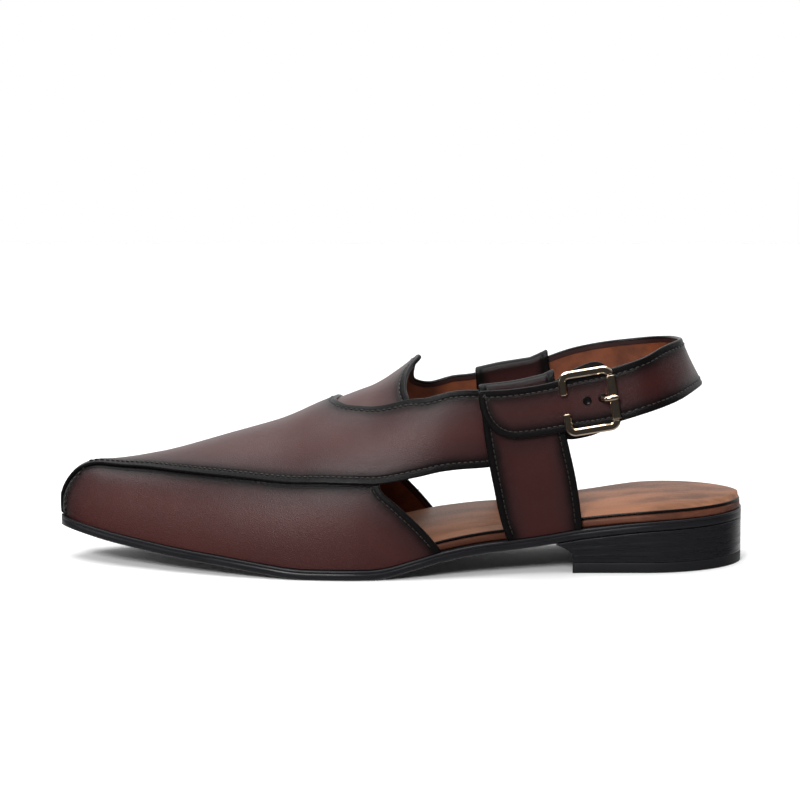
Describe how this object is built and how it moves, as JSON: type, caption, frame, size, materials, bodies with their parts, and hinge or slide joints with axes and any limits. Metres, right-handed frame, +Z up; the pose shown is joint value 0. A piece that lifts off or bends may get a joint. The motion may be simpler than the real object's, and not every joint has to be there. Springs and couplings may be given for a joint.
{
  "type": "peshawari chappal",
  "caption": "Burgundy leather peshawari chappal, left shoe: crossed wings with throat tab, folded side straps, buckled heel strap, low heel",
  "frame": {"origin": "on the floor, under the middle of the shoe's outer box", "axes": "+X from toe to heel, +Y to the shoe's inner side, +Z up"},
  "size_m": [0.2988, 0.0964, 0.0993],
  "materials": {
    "sole_leather": "black edge ink, waxed",
    "lift_rubber": "matt",
    "insole_leather": "satin",
    "sock_leather": "satin",
    "upper_leather": "burnished satin",
    "backing_leather": "black satin",
    "buckle_brass": "pale gold, polished"
  },
  "bodies": {
    "root": {"outsole": "sole_leather", "heel_stack": "sole_leather", "top_lift": "lift_rubber", "insole": "insole_leather", "sock": "sock_leather", "upper": "upper_leather", "side_strap_outer": "upper_leather", "side_strap_inner": "upper_leather", "heel_strap": "upper_leather", "buckle_backing": "backing_leather", "buckle_frame": "buckle_brass", "buckle_sleeve": "buckle_brass", "buckle_prong": "buckle_brass"}
  },
  "joints": []
}
